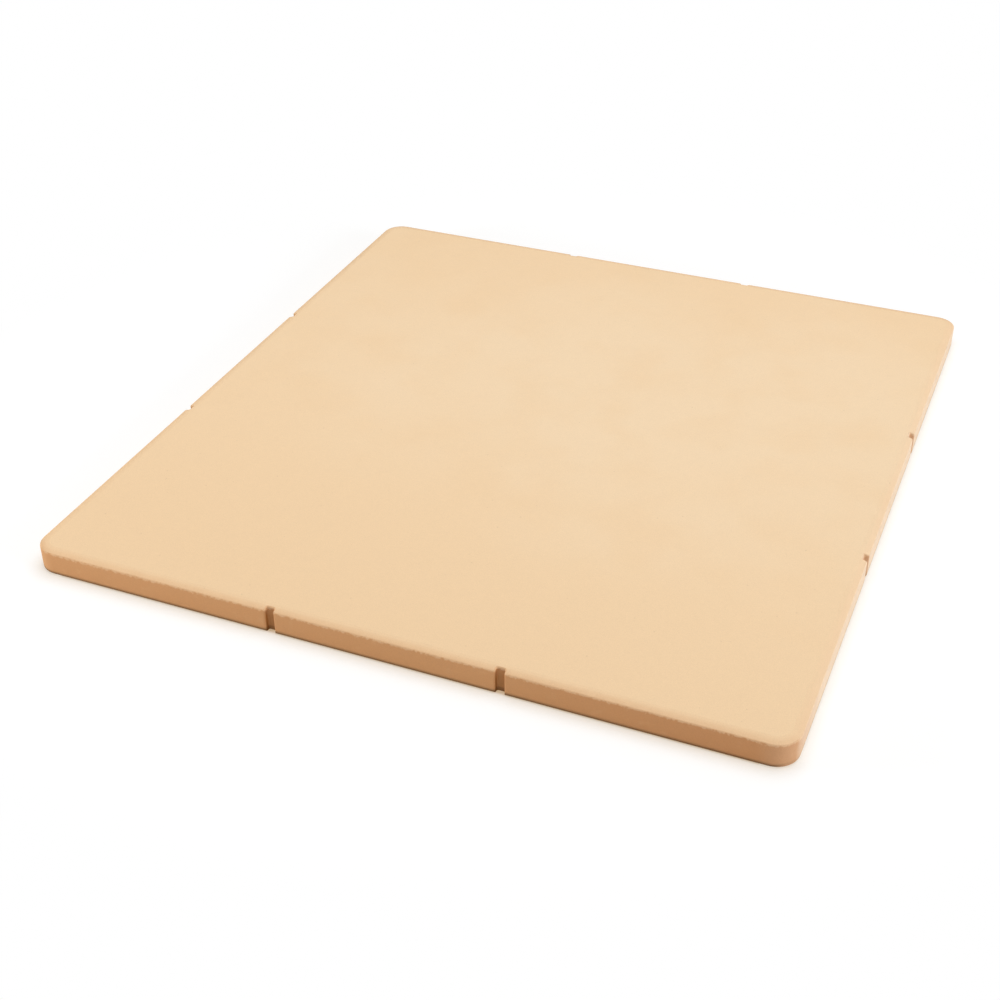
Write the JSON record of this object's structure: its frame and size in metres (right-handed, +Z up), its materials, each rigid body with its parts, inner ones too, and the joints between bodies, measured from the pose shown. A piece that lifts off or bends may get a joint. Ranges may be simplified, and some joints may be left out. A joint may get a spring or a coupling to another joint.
{
  "type": "pizza stone",
  "caption": "Flat baking slab of unglazed fired clay, nearly square, with rounded corners and edges and small relief slots let into every side.",
  "frame": {"origin": "middle of the flat underside, on the surface that the stone rests on", "axes": "+Z up through the thickness, +X along the shorter sides to the right, -Y towards the front edge"},
  "size_m": [0.3556, 0.381, 0.0127],
  "materials": {
    "fired_clay": "matt, unglazed, very fine dry grain"
  },
  "bodies": {
    "root": {"stone_slab": "fired_clay"}
  },
  "joints": []
}
